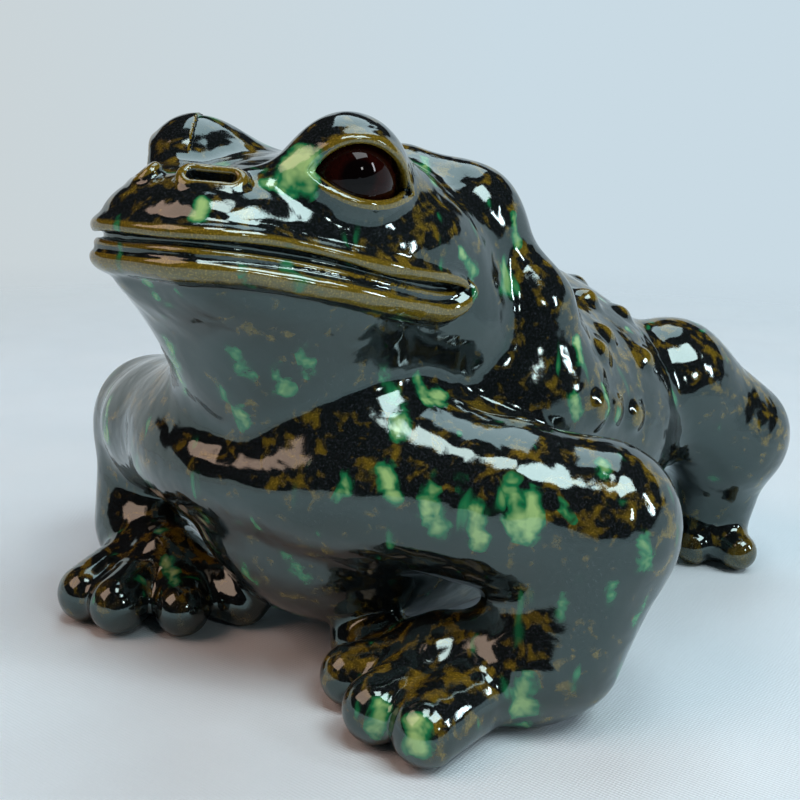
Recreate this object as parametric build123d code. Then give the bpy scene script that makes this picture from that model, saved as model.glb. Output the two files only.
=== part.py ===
from build123d import *
import os
from math import asin, cos, pi, radians, sin

# Glazed pottery frog that crouches on its belly, in millimetres.
# +Z is up and the frog looks along -Y, so its left side is +X. The origin is on the floor,
# under the flat of the belly. Clay pieces are cast or rolled, and luted face to face.

# Clay walls and clearances
wall = 4.5
cup_wall = 3
foot_depth = 0.6
eye_clearance = 0.2

# Torso: overall sizes, and the share of them that each cross-section takes
torso_front = 52
torso_length = 138
torso_width = 101
torso_height = 80
torso_section_shares = [
    # along, half width, lowest, highest, height of the widest line
    (0.01, 0.18, 0.40, 0.59, 0.50),
    (0.03, 0.36, 0.28, 0.65, 0.49),
    (0.06, 0.49, 0.19, 0.70, 0.49),
    (0.12, 0.62, 0.08, 0.77, 0.50),
    (0.20, 0.70, 0.02, 0.85, 0.51),
    (0.32, 0.85, 0.00, 0.96, 0.57),
    (0.43, 0.93, 0.00, 1.00, 0.56),
    (0.57, 1.00, 0.00, 0.98, 0.50),
    (0.70, 0.95, 0.00, 0.91, 0.47),
    (0.81, 0.80, 0.00, 0.80, 0.40),
    (0.90, 0.65, 0.06, 0.68, 0.36),
    (0.97, 0.44, 0.15, 0.56, 0.35),
    (1.00, 0.18, 0.26, 0.45, 0.35),
]

# Head: overall sizes above the throat, and the shares that each cross-section takes.
# The widest line of each section is the mouth line.
snout_front = 73
head_length = 78
head_width = 64
head_height = 43
chin_height = 54
head_section_shares = [
    (0.00, 0.14, 0.60, 0.74, 0.68),
    (0.02, 0.28, 0.53, 0.79, 0.68),
    (0.06, 0.40, 0.45, 0.84, 0.67),
    (0.13, 0.53, 0.35, 0.88, 0.64),
    (0.24, 0.69, 0.22, 0.92, 0.60),
    (0.37, 0.83, 0.11, 0.95, 0.55),
    (0.51, 0.95, 0.04, 0.99, 0.49),
    (0.65, 1.00, 0.00, 1.00, 0.46),
    (0.80, 0.90, 0.02, 0.95, 0.50),
    (0.91, 0.68, 0.14, 0.84, 0.52),
    (0.99, 0.30, 0.34, 0.66, 0.50),
]

# Throat: level ellipses from the chest up into the jaw
throat_foot = 44
throat_height = 30
throat_width = 60
throat_depth = 62
throat_centre_back = 21
throat_lean = 10
throat_section_shares = [
    # up, half width, half depth, lean forward
    (0.00, 0.81, 0.76, 0.00),
    (0.27, 0.90, 0.86, 0.10),
    (0.55, 0.96, 0.94, 0.35),
    (0.85, 1.00, 1.00, 0.80),
    (1.00, 0.94, 1.00, 1.00),
]

# Neck opening between the two hollow castings, and the vent in the foot of the belly
neck_hole_radius = 12
neck_hole_back = 22
vent_radius = 6
vent_behind_origin = 34

# Nape fold: a thick ridge from the nape, round behind the cheek, down to the shoulder
nape_fold_radius = 9.5
nape_ridge_radius = 11
nape_ridge_forward = 5
nape_ridge_height = 85.5
nape_ridge_foot_back = 26
nape_ridge_foot_height = 64
nape_ridge_foot_radius = 15
nape_out = 8
nape_forward = 12
nape_height = 89.5
temple_out = 20
temple_forward = 7
temple_height = 85
cheek_out = 29.5
cheek_forward = 4
cheek_height = 68
fold_foot_out = 35
fold_foot_height = 52
fold_foot_radius = 10

# Chest: a level roll of clay across the breast, between the shoulders
chest_roll_out = 14
chest_roll_forward = 34.5
chest_roll_height = 42.5
chest_roll_radius = 14

# Brow, eye and lids
brow_back_out = 14
brow_back_forward = 28
brow_back_height = 87
brow_back_radius = 10
brow_out = 16
brow_forward = 40.5
brow_height = 94.3
brow_radius = 9.5
eye_out = 17.5
eye_forward = 41
eye_height = 93
eye_radius = 8.2
eye_flat_depth = 5
eye_turn = 52
eye_tilt = 4
lid_ring_radius = 7.2
lid_coil_radius = 2
lid_ring_stand = 4.5

# Nostrils: a low mound on each side of the snout with a dimple in it
nostril_out = 5.6
nostril_forward = 58
nostril_height = 89.3
nostril_mound_radius = 3.4
nostril_dimple_radius = 1.5
nostril_dimple_out = 1.8
nostril_dimple_up = 2.6

# Lower lip: a rolled coil laid along the mouth line from corner to corner
lip_radius = 2.2
lip_drop = 2
lip_sections = 8

# Front leg, from the shoulder to the toes
shoulder_out = 24
shoulder_forward = 32
shoulder_height = 40
shoulder_radius = 14
elbow_out = 57
elbow_forward = 20
elbow_height = 35.5
elbow_radius = 14.5
wrist_out = 51
wrist_forward = 27.5
wrist_height = 13
wrist_radius = 11
palm_heel_out = 46.5
palm_heel_forward = 30.5
palm_heel_radius = 9
palm_out = 36
palm_forward = 35.5
palm_radius = 9
finger_root_radius = 7
finger_places = [
    # root out, root forward, tip out, tip forward, tip radius
    (45.5, 34.0, 43.0, 51.5, 6.2),
    (38.0, 35.0, 33.0, 51.5, 6.0),
    (34.0, 35.0, 22.0, 44.5, 5.6),
    (30.0, 34.0, 15.0, 33.5, 5.2),
]

# Hind leg, from the thigh to the toes
thigh_out = 28
thigh_back = 66
thigh_height = 34
thigh_radius = 18
knee_out = 42
knee_back = 50
knee_height = 46
knee_radius = 14.5
shank_out = 53
shank_back = 64
shank_height = 32
shank_radius = 13
ankle_out = 51
ankle_back = 67
ankle_height = 11
ankle_radius = 9
toe_knuckle_reach = 3
toe_knuckle_radius = 6.3
toe_radius = 4.5
toe_reach = 10
toe_angles = [-36, -66, -94]

# Drain holes between the hollow torso and each hollow leg
drain_radius = 4

# Clay pellets on each side of the back: shares along the torso, turn from the top, size
pellet_radius = 3.4
pellet_spot_shares = [
    (0.38, 0.43, 1.00),
    (0.43, 0.44, 0.80),
    (0.44, 0.36, 0.75),
    (0.49, 0.46, 0.85),
    (0.50, 0.34, 0.70),
    (0.57, 0.39, 0.75),
    (0.56, 0.27, 0.85),
    (0.46, 0.24, 0.75),
    (0.64, 0.31, 0.75),
    (0.52, 0.16, 0.80),
    (0.62, 0.10, 0.75),
    (0.70, 0.20, 0.80),
]
pellet_sunk_share = 0.35

# Smoothness of a cross-section, and the thinnest core that a hollow may have
section_points = 16
least_core_share = 0.35


def closed_section(points):
    return Wire([Edge.make_spline(points, periodic=True)])


def egg_section(along_y, half_width, low, high, widest):
    """Upright section of two half ellipses that meet at the widest line."""
    points = []
    for step in range(section_points):
        turn = 2 * pi * step / section_points
        rise = high - widest if cos(turn) > 0 else widest - low
        points.append((half_width * sin(turn), along_y, widest + rise * cos(turn)))
    return closed_section(points)


def torso_form(inset):
    sections = []
    for along, half, low, high, widest in torso_section_shares:
        run = torso_length - 2 * inset
        half_width = torso_width / 2 * half
        middle = torso_height * widest
        bottom = torso_height * low - foot_depth
        top = torso_height * high
        sections.append(egg_section(
            along * run + inset - torso_front,
            max(half_width - inset, half_width * least_core_share),
            min(bottom + inset, middle - (middle - bottom) * least_core_share),
            max(top - inset, middle + (top - middle) * least_core_share),
            middle,
        ))
    return Solid.make_loft(sections)


def head_stations():
    stations = []
    for along, half, low, high, widest in head_section_shares:
        stations.append((
            along * head_length - snout_front,
            head_width / 2 * half,
            chin_height + head_height * low,
            chin_height + head_height * high,
            chin_height + head_height * widest,
        ))
    return stations


def skull_form(inset):
    sections = []
    squeeze = (head_length - 2 * inset) / head_length
    for along_y, half_width, low, high, widest in head_stations():
        sections.append(egg_section(
            (along_y + snout_front) * squeeze + inset - snout_front,
            max(half_width - inset, half_width * least_core_share),
            min(low + inset, widest - (widest - low) * least_core_share),
            max(high - inset, widest + (high - widest) * least_core_share),
            widest,
        ))
    return Solid.make_loft(sections)


def throat_form(inset):
    sections = []
    for up, half_width, half_depth, lean in throat_section_shares:
        points = []
        for step in range(section_points):
            turn = 2 * pi * step / section_points
            points.append((
                (throat_width / 2 * half_width - inset) * sin(turn),
                (throat_depth / 2 * half_depth - inset) * cos(turn)
                - throat_centre_back - throat_lean * lean,
                throat_foot + throat_height * up,
            ))
        sections.append(closed_section(points))
    return Solid.make_loft(sections)


def ball(centre, radius):
    return Solid.make_sphere(radius, Plane(origin=centre))


def on_ball(radius, centre_height, turn):
    return (radius * cos(turn), 0, centre_height + radius * sin(turn))


def limb(start, end, start_radius, end_radius):
    """A tapered limb with a ball at each end, turned from one outline."""
    run = Vector(*end) - Vector(*start)
    lean = asin((start_radius - end_radius) / run.length)
    first = on_ball(start_radius, 0, -pi / 2)
    start_rim = on_ball(start_radius, 0, lean)
    end_rim = on_ball(end_radius, run.length, lean)
    last = on_ball(end_radius, run.length, pi / 2)
    outline = Wire([
        ThreePointArc(first, on_ball(start_radius, 0, (lean - pi / 2) / 2), start_rim).edge(),
        Line(start_rim, end_rim).edge(),
        ThreePointArc(end_rim, on_ball(end_radius, run.length, (lean + pi / 2) / 2), last).edge(),
        Line(last, first).edge(),
    ])
    turned = Solid.revolve(Face(outline), 360, Axis.Z)
    return turned.moved(Plane(origin=start, z_dir=run).location)


def joined(pieces):
    whole = pieces[0]
    for piece in pieces[1:]:
        whole = whole.fuse(piece)
    return whole


def cut_away(shape, tools):
    """Cut by one tool after another, and keep the main solid without crumbs."""
    for tool in tools:
        shape = max(shape.cut(tool).solids(), key=lambda solid: solid.volume)
    return shape


def both_sides(shapes):
    return shapes + [shape.mirror(Plane.YZ) for shape in shapes]


def place(out, forward, height):
    return (out, -forward, height)


def post(radius, start, end):
    """Round cutter from one point to another."""
    run = Vector(*end) - Vector(*start)
    return Solid.make_cylinder(radius, run.length, Plane(origin=start, z_dir=run))


# Places of the joints of the clay limbs
shoulder = place(shoulder_out, shoulder_forward, shoulder_height)
elbow = place(elbow_out, elbow_forward, elbow_height)
wrist = place(wrist_out, wrist_forward, wrist_height)
palm_heel = place(palm_heel_out, palm_heel_forward, palm_heel_radius - foot_depth)
palm = place(palm_out, palm_forward, palm_radius - foot_depth)
thigh = place(thigh_out, -thigh_back, thigh_height)
knee = place(knee_out, -knee_back, knee_height)
shank = place(shank_out, -shank_back, shank_height)
ankle = place(ankle_out, -ankle_back, ankle_height)
eye_centre = place(eye_out, eye_forward, eye_height)
eye_plane = Plane(origin=eye_centre, z_dir=(
    sin(radians(eye_turn)) * cos(radians(eye_tilt)),
    -cos(radians(eye_turn)) * cos(radians(eye_tilt)),
    sin(radians(eye_tilt)),
))


def nape_fold_forms():
    nape = place(nape_out, nape_forward, nape_height)
    temple = place(temple_out, temple_forward, temple_height)
    cheek = place(cheek_out, cheek_forward, cheek_height)
    foot = place(fold_foot_out, cheek_forward, fold_foot_height)
    return [
        limb(nape, temple, nape_fold_radius, nape_fold_radius),
        limb(temple, cheek, nape_fold_radius, nape_fold_radius),
        limb(cheek, foot, nape_fold_radius, fold_foot_radius),
    ]


def body_rolls():
    """The nape ridge down the middle of the back, and the roll across the chest."""
    crown = place(0, nape_ridge_forward, nape_ridge_height)
    back = place(0, -nape_ridge_foot_back, nape_ridge_foot_height)
    breast = place(chest_roll_out, chest_roll_forward, chest_roll_height)
    other_breast = place(-chest_roll_out, chest_roll_forward, chest_roll_height)
    return [
        limb(crown, back, nape_ridge_radius, nape_ridge_foot_radius),
        limb(breast, other_breast, chest_roll_radius, chest_roll_radius),
    ]


def brow_forms():
    back = place(brow_back_out, brow_back_forward, brow_back_height)
    front = place(brow_out, brow_forward, brow_height)
    return both_sides([limb(back, front, brow_back_radius, brow_radius)])


def nostril_forms():
    """A mound on each side of the snout, and the dimple that is pressed in it."""
    mound = place(nostril_out, nostril_forward, nostril_height)
    dimple = place(
        nostril_out + nostril_dimple_out,
        nostril_forward,
        nostril_height + nostril_dimple_up,
    )
    return (
        both_sides([ball(mound, nostril_mound_radius)]),
        both_sides([ball(dimple, nostril_dimple_radius)]),
    )


def eye_form(spare):
    """Dark glass eye with a flat back. The spare is what its socket leaves free round it."""
    radius = eye_radius + spare
    depth = eye_flat_depth + spare
    rim = (radius * radius - depth * depth) ** 0.5
    outline = Wire([
        Line((0, 0, -depth), (rim, 0, -depth)).edge(),
        ThreePointArc((rim, 0, -depth), (radius, 0, 0), (0, 0, radius)).edge(),
        Line((0, 0, radius), (0, 0, -depth)).edge(),
    ])
    return Solid.revolve(Face(outline), 360, Axis.Z).moved(eye_plane.location)


def lid_ring():
    """Rolled coil that lies round the eye, bedded in the brow and hollowed to the eye."""
    coil = Plane.XZ * Pos(lid_ring_radius, lid_ring_stand) * Circle(lid_coil_radius)
    ball_outline = Plane.XZ * Circle(eye_radius + eye_clearance)
    crescent = (coil - ball_outline).face()
    return Solid.revolve(crescent, 360, Axis.Z).moved(eye_plane.location)


def lip_forms():
    """Rolled coil that follows the widest line of the head, from the corner to the snout."""
    points = []
    for along_y, half_width, low, high, widest in head_stations()[:lip_sections]:
        points.append((half_width, along_y, widest - lip_drop))
    spans = both_sides([
        limb(start, end, lip_radius, lip_radius) for start, end in zip(points, points[1:])
    ])
    front = points[0]
    return spans + [limb(front, (-front[0], front[1], front[2]), lip_radius, lip_radius)]


def finger_forms():
    """Fingers from their roots in the palm to their tips, flat on the floor."""
    forms = []
    for root_out, root_forward, tip_out, tip_forward, tip_radius in finger_places:
        root = place(root_out, root_forward, finger_root_radius - foot_depth)
        tip = place(tip_out, tip_forward, tip_radius - foot_depth)
        forms.append(limb(root, tip, finger_root_radius, tip_radius))
    return forms


def toe_forms():
    """Toes that fan out from their knuckles round the ankle."""
    forms = []
    for angle in toe_angles:
        across, along = cos(radians(angle)), sin(radians(angle))
        knuckle = (
            ankle[0] + toe_knuckle_reach * across,
            ankle[1] + toe_knuckle_reach * along,
            toe_knuckle_radius - foot_depth,
        )
        tip = (
            ankle[0] + toe_reach * across,
            ankle[1] + toe_reach * along,
            toe_radius - foot_depth,
        )
        forms.append(limb(knuckle, tip, toe_knuckle_radius, toe_radius))
    return forms


def front_leg_forms():
    return [
        limb(shoulder, elbow, shoulder_radius, elbow_radius),
        limb(elbow, wrist, elbow_radius, wrist_radius),
        limb(wrist, palm_heel, wrist_radius, palm_heel_radius),
        limb(palm_heel, palm, palm_heel_radius, palm_radius),
    ] + finger_forms()


def front_leg_hollow():
    return [
        limb(shoulder, elbow, shoulder_radius - wall, elbow_radius - wall),
        limb(elbow, wrist, elbow_radius - wall, wrist_radius - wall),
    ]


def hind_leg_forms():
    return [
        limb(thigh, knee, thigh_radius, knee_radius),
        limb(knee, shank, knee_radius, shank_radius),
        limb(shank, ankle, shank_radius, ankle_radius),
    ] + toe_forms()


def hind_leg_hollow():
    return [
        limb(thigh, knee, thigh_radius - wall, knee_radius - wall),
        limb(knee, shank, knee_radius - wall, shank_radius - wall),
    ]


def floor_box():
    """Cutter under the floor, for the flat unglazed underside of each piece."""
    size = torso_length * 2
    return Solid.make_box(size, size, size, Plane(origin=(-size / 2, -size / 2, -size)))


def pellets(torso):
    """Small clay domes, each cut to the surface of the back that carries it."""
    domes = []
    for along, turn, size in pellet_spot_shares:
        start = (0, along * torso_length - torso_front, torso_height / 2)
        ray = Axis(start, (sin(pi * turn), 0, cos(pi * turn)))
        spot, outward = max(torso.find_intersection_points(ray), key=lambda hit: hit[0].X)
        radius = pellet_radius * size
        domes.append(ball(tuple(spot - outward * radius * pellet_sunk_share), radius))
    return both_sides(domes)


# Outer forms, which overlap each other and are then cut face to face
torso_outer = torso_form(0)
folds_left = nape_fold_forms()
rolls = body_rolls()
body_outer = [torso_outer] + rolls + both_sides(folds_left)
floor = floor_box()

# Torso: hollow, open at the neck, drained into each leg, vented through its foot
neck_hole = post(
    neck_hole_radius,
    (0, -neck_hole_back, torso_height / 2),
    (0, -neck_hole_back, torso_height),
)
vent = post(vent_radius, (0, vent_behind_origin, -wall), (0, vent_behind_origin, wall * 2))
drains = both_sides([
    post(drain_radius, (0, -shoulder_forward, shoulder_height), elbow),
    post(drain_radius, (0, thigh_back, thigh_height), knee),
])
torso_shell = cut_away(
    joined(body_outer),
    [torso_form(wall), neck_hole, vent] + drains + [floor],
)

# Head: hollow, cut to the torso, with its sockets, nostrils and lip groove
eye_left = eye_form(0)
lid_left = lid_ring()
lip_roll = joined(lip_forms())
mounds, dimples = nostril_forms()
cups = both_sides([ball(eye_centre, eye_radius + cup_wall)])
throat = throat_form(0)
head_outer = joined([skull_form(0), throat] + brow_forms() + mounds)
head_hollow = cut_away(joined([skull_form(wall), throat_form(wall)]), cups)
sockets = both_sides([eye_form(eye_clearance), lid_left])
head_shell = cut_away(
    head_outer,
    body_outer + sockets + [lip_roll] + dimples + [head_hollow],
)

# Legs: hollow castings cut to the body that carries them
front_leg = cut_away(
    joined(front_leg_forms()),
    [floor, torso_outer, throat] + rolls + folds_left + front_leg_hollow(),
)
hind_outer = joined(hind_leg_forms())
hind_leg = cut_away(hind_outer, [floor, torso_outer] + hind_leg_hollow())

left_pieces = {
    "front_leg": front_leg,
    "hind_leg": hind_leg,
    "eye": eye_left,
    "eyelid": lid_left,
}
nodes = {
    "torso_shell": torso_shell,
    "head_shell": head_shell,
    "lower_lip_roll": lip_roll,
    "back_warts": Compound(children=[
        cut_away(pellet, body_outer + both_sides([hind_outer])) for pellet in pellets(torso_outer)
    ]),
}
for name, shape in left_pieces.items():
    nodes[f"{name}_left"] = shape
    nodes[f"{name}_right"] = shape.mirror(Plane.YZ)

os.makedirs("parts", exist_ok=True)
for name, shape in nodes.items():
    export_step(shape, f"parts/{name}.step")
    print(name, round(shape.volume), "cubic mm")
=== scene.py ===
import math
from collections import namedtuple
from concurrent.futures import ThreadPoolExecutor

import bpy
import numpy as np
import openvdb
from mathutils import Matrix, Vector


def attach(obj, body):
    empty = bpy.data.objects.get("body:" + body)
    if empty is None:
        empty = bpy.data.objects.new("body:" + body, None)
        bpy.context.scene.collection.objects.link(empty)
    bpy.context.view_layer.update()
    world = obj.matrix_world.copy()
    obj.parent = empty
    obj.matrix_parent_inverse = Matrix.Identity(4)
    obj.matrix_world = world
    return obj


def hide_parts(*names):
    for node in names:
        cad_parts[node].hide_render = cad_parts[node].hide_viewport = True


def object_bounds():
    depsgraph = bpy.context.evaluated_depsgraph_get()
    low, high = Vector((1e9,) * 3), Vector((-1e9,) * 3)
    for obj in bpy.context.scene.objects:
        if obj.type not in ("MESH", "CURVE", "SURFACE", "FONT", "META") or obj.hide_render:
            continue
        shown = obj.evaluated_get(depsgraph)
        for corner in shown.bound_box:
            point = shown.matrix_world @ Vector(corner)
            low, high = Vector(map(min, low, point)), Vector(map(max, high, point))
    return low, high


bl_info = {
    "name": "Glazed Pottery Frog",
    "version": (1, 0, 0),
    "blender": (4, 5, 0),
    "location": "3D View > Sidebar > Frog",
    "description": "Sculpts a crouching pottery frog under a dark flowing glaze",
    "category": "Object",
}

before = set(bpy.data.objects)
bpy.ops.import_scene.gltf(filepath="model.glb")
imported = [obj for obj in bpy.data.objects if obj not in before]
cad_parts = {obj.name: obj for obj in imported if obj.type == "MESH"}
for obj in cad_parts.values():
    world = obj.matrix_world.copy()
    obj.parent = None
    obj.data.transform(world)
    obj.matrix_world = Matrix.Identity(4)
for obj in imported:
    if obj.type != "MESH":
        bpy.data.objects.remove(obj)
cad_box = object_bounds()

# The clay is modelled in millimetres. The frog faces -Y, its left side is +X, and the forms of
# its left half stand for both halves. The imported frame's length sets the scale of the model.
MODEL_LENGTH = 161.2
METRES = 0.001
UNIT = (cad_box[1][1] - cad_box[0][1]) / MODEL_LENGTH
TINY = 1e-6

# Sizes that the sidebar offers, in millimetres
clay_sizes = {
    "upper_lip_roll": 1.4,
    "lip_roll": 2.1,
    "lid_roll": 1.15,
    "swell": 0.25,
    "foot_rounding": 0.8,
}

Form = namedtuple("Form", "part blend low high distance")


def length(vectors):
    return np.sqrt((vectors * vectors).sum(-1))


def smooth_min(a, b, blend):
    """The lesser of two distances, with a fillet of about blend where they meet."""
    mix = np.clip(0.5 + 0.5 * (b - a) / blend, 0, 1)
    return b * (1 - mix) + a * mix - blend * mix * (1 - mix)


def smooth_max(a, b, blend):
    return -smooth_min(-a, -b, blend)


def smooth_step(low, high, value):
    share = np.clip((value - low) / (high - low), 0, 1)
    return share * share * (3 - 2 * share)


# A form is left out where a block of points lies further than this from it
REACH_MARGIN = 3


def egg(part, centre, radii, tilt=0, blend=4):
    """Ellipsoid of clay. A negative tilt, in degrees, lowers its back end."""
    centre, radii = np.float32(centre), np.float32(radii)
    turn = np.array(Matrix.Rotation(math.radians(tilt), 3, "X"), np.float32)

    def distance(points):
        local = (points - centre) @ turn
        far = length(local / radii)
        return far * (far - 1) / np.maximum(length(local / radii**2), TINY)

    reach = radii.max() + blend + REACH_MARGIN
    return Form(part, blend, centre - reach, centre + reach, distance)


def limb(part, start, end, start_radius, end_radius, blend=4):
    """Round cone of clay between two points, with a ball at each end."""
    start, end = np.float32(start), np.float32(end)
    run = end - start
    run_squared = float(run @ run)
    narrowing = start_radius - end_radius
    side_squared = run_squared - narrowing * narrowing

    def distance(points):
        from_start = points - start
        along = from_start @ run
        past = along - run_squared
        across = from_start * run_squared - along[..., None] * run
        across_squared = (across * across).sum(-1)
        along_squared = along * along * run_squared
        past_squared = past * past * run_squared
        cap = math.copysign(narrowing * narrowing, narrowing) * across_squared
        side = np.sqrt(across_squared * side_squared / run_squared) + along * narrowing
        result = side / run_squared - start_radius
        beyond = np.sign(past) * side_squared * past_squared > cap
        at_end = np.sqrt(across_squared + past_squared) / run_squared - end_radius
        result = np.where(beyond, at_end, result)
        before = np.sign(along) * side_squared * along_squared < cap
        at_start = np.sqrt(across_squared + along_squared) / run_squared - start_radius
        return np.where(before, at_start, result)

    reach = max(start_radius, end_radius) + blend + REACH_MARGIN
    return Form(part, blend, np.minimum(start, end) - reach, np.maximum(start, end) + reach, distance)


# Places of the front leg and its fingers
SHOULDER = (24, -32, 40)
ELBOW = (56, -19, 35.5)
BREAST = (15, -38, 41)
UPPER_ARM = (42, -29, 38)
FOREARM_TOP = (55.6, -18.8, 34.3)
WRIST = (53, -26, 13.5)
PALM_HEEL = (46.5, -30.5, 8.5)
PALM = (36, -35.5, 9)
KNUCKLES = [(45.5, -34, 8), (38, -35, 8), (34, -35, 7.5), (30, -34, 7)]
KNUCKLE_RADIUS = 7
FINGER_TIPS = [
    # place, radius
    ((43, -51.5, 6), 6.2),
    ((33, -51.5, 6), 6),
    ((22, -44.5, 5.6), 5.6),
    ((15, -33.5, 5.2), 5.2),
]

# Places of the hind leg and its toes
THIGH = (28, 66, 34)
KNEE = (42, 50, 46)
SHANK = (54, 63, 33)
ANKLE = (51, 67, 11)
TOE_ROOT = (51, 66, 7)
TOE_ROOT_RADIUS = 6.5
TOE_TIPS = [
    ((60, 60, 4.5), 4.5),
    ((50, 57.5, 4.5), 4.5),
]

# Places of the fold that runs from the nape down behind the cheek
NAPE_MIDDLE = (0, -11, 89)
NAPE = (8, -12, 89.5)
TEMPLE = (20, -7, 85)
CHEEK = (31, -2, 68)
FOLD_FOOT = (36, -1, 50)

# The glass eye, and the directions of its opening: outward, towards its back corner, and up
EYE_CENTRE = np.float32((17.5, -41, 93))
EYE_RADIUS = 8.2
EYE_OUT = np.float32((0.786, -0.614, 0.07))
EYE_ALONG = np.float32((0.612, 0.775, -0.157))
EYE_UP = np.cross(EYE_OUT, EYE_ALONG)

FORMS = [
    egg("torso", (0, -8, 35), (36, 44, 35.5)),
    egg("torso", (0, 30, 40), (51, 45, 34), tilt=-14, blend=10),
    egg("torso", (0, 22, 52), (30, 46, 26), tilt=-16, blend=8),
    egg("torso", (0, 57, 28), (37, 28, 27), blend=10),
    egg("torso", (0, -33, 40), (31, 24, 12.5), blend=5),
    egg("torso", (0, 22, 15), (34, 44, 18), blend=8),
    egg("torso", (22, 2, 50), (24, 24, 21), tilt=-20, blend=10),
    limb("torso", (0, -34.5, 42.5), (14, -34.5, 42.5), 13.5, 13.5, blend=6),
    limb("torso", (0, -5, 85.5), (0, 26, 64), 10.5, 15, blend=8),
    limb("fold", NAPE_MIDDLE, NAPE, 9, 9),
    limb("fold", NAPE, TEMPLE, 9, 9, blend=3),
    limb("fold", TEMPLE, CHEEK, 9, 8, blend=8),
    limb("fold", CHEEK, FOLD_FOOT, 8, 9.5, blend=8),
    egg("head", (0, -27, 80), (32, 31, 17)),
    limb("head", (6, -60.5, 82), (-6, -60.5, 82), 8.3, 8.3, blend=6),
    egg("head", (0, -47, 83.5), (20, 22, 9.5), tilt=-4, blend=10),
    egg("head", (0, -34, 70), (28, 31, 14.5), tilt=-14, blend=7),
    egg("head", (0, -26, 62), (25, 31.5, 21), blend=8),
    egg("head", (20, -17, 68), (14, 13, 12), blend=8),
    limb("head", (7.5, -56, 90), (14, -49.5, 93), 2.6, 3.5, blend=4),
    egg("head", (14.5, -31, 88), (10, 13, 10), blend=4),
    egg("head", (17, -40, 94.2), (8.2, 10.8, 9.1), blend=6),
    limb("front_leg", SHOULDER, ELBOW, 14, 14.2),
    limb("front_leg", BREAST, UPPER_ARM, 12, 12.5, blend=8),
    limb("front_leg", FOREARM_TOP, WRIST, 14.2, 12, blend=4),
    limb("front_leg", PALM_HEEL, PALM, 9, 9, blend=8),
    limb("hind_leg", THIGH, KNEE, 18, 14.5),
    limb("hind_leg", KNEE, SHANK, 14, 14, blend=5),
    limb("hind_leg", (52, 65, 28), ANKLE, 12, 9, blend=5),
]
for knuckle, (tip, radius) in zip(KNUCKLES, FINGER_TIPS):
    FORMS.append(limb("front_leg", knuckle, tip, KNUCKLE_RADIUS, radius, blend=2.5))
for tip, radius in TOE_TIPS:
    FORMS.append(limb("hind_leg", TOE_ROOT, tip, TOE_ROOT_RADIUS, radius, blend=3))

# Fillets where the parts of the body meet, and what the fillets of breast and throat add to them
FOLD_BLEND = 5
HEAD_BLEND = 3
THROAT_BLEND = 3
THROAT_FROM = 30
LEG_BLEND = 4
BREAST_BLEND = 8
BREAST_DEPTHS = (15, 40)
BREAST_HEIGHTS = (20, 35)
WART_BLEND = 2.5

# The mouth falls from the snout to its corner along a smooth step
MOUTH_MIDDLE_HEIGHT = 78.7
MOUTH_HALF_FALL = 5.4
MOUTH_STEP_PLACE = -48
MOUTH_STEP_LENGTH = 18
MOUTH_CORNER = -26
MOUTH_CORNER_LENGTH = 7
UPPER_LIP_RISE = 2.2
INNER_LIP_DROP = 1.0
INNER_LIP_RADIUS = 0.9
LIP_DROP = 3.7
MOUTH_GROOVE_RISE = 0.5
MOUTH_GROOVE_RADIUS = 0.8
LIP_SET_IN = 0.3
UPPER_LIP_BLEND = 1.2
INNER_LIP_BLEND = 0.5
LIP_BLEND = 0.8

# Almond opening between the eyelids: two arcs through its corners, in the plane of the eye
OPENING_HALF_WIDTH = 9.4
OPENING_RISE = 7.0
OPENING_DROP = 3.8
OPENING_LEVEL = -0.6
OPENING_SHIFT = 1.2
LID_THICKNESS = 1.3
LID_RIM_STAND = 0.9
LID_BLEND = 3
LID_ROLL_BLEND = 0.9
OPENING_BLEND = 0.5
SOCKET_DEPTH = 6
SOCKET_CLEARANCE = 0.05

# Nostrils: a raised ring with a slot in it, on a mound of the snout
NOSTRIL = np.float32((7.6, -62.0, 92.9))
NOSTRIL_ALONG = np.float32((0.82, 0.567, -0.081))
NOSTRIL_OUT = np.float32((0.424, -0.506, 0.751))
NOSTRIL_HALF_LENGTH = 2.8
NOSTRIL_RING = 1.8
NOSTRIL_RING_RADIUS = 0.9
NOSTRIL_BLEND = 1.5
NOSTRIL_SLOT = 1
NOSTRIL_SLOT_DEPTH_SHARE = 2
NOSTRIL_SLOT_BLEND = 0.6

# The flat foot, and the vent of the casting in it
VENT_CENTRE = (0, 34)
VENT_RADIUS = 6
VENT_DEPTH = 12

# How far a piece runs on under its neighbour, and how steeply it sinks there
SEAM_REACH = 3
SMALL_SEAM_REACH = 1
SEAM_SLOPE = 0.35
FAR = np.float32(40)

PARTS = ("torso", "head", "front_leg", "hind_leg", "eyelid", "lip", "wart")
PAIRED = ("front_leg", "hind_leg", "eyelid")
SMALL_PARTS = ("eyelid", "lip", "wart")
SIDES = ((1, "left"), (-1, "right"))


def wart_forms():
    """Clay pellets where the frame has them, one for each pair."""
    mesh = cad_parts["back_warts"].data
    places = np.array([vertex.co for vertex in mesh.vertices]) / UNIT
    group = list(range(len(places)))

    def leader(index):
        while group[index] != index:
            group[index] = group[group[index]]
            index = group[index]
        return index

    seen = {}
    for index, place in enumerate(places):
        key = tuple(np.round(place, 3))
        group[index] = leader(seen.setdefault(key, index))
    for edge in mesh.edges:
        group[leader(edge.vertices[0])] = leader(edge.vertices[1])
    pellets = {}
    for index in range(len(places)):
        pellets.setdefault(leader(index), []).append(places[index])
    forms = []
    for pellet in pellets.values():
        pellet = np.array(pellet)
        middle = (pellet.min(0) + pellet.max(0)) / 2
        if middle[0] > 0:
            forms.append((middle, (pellet.max(0) - pellet.min(0)).max() / 2))
    return forms


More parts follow.
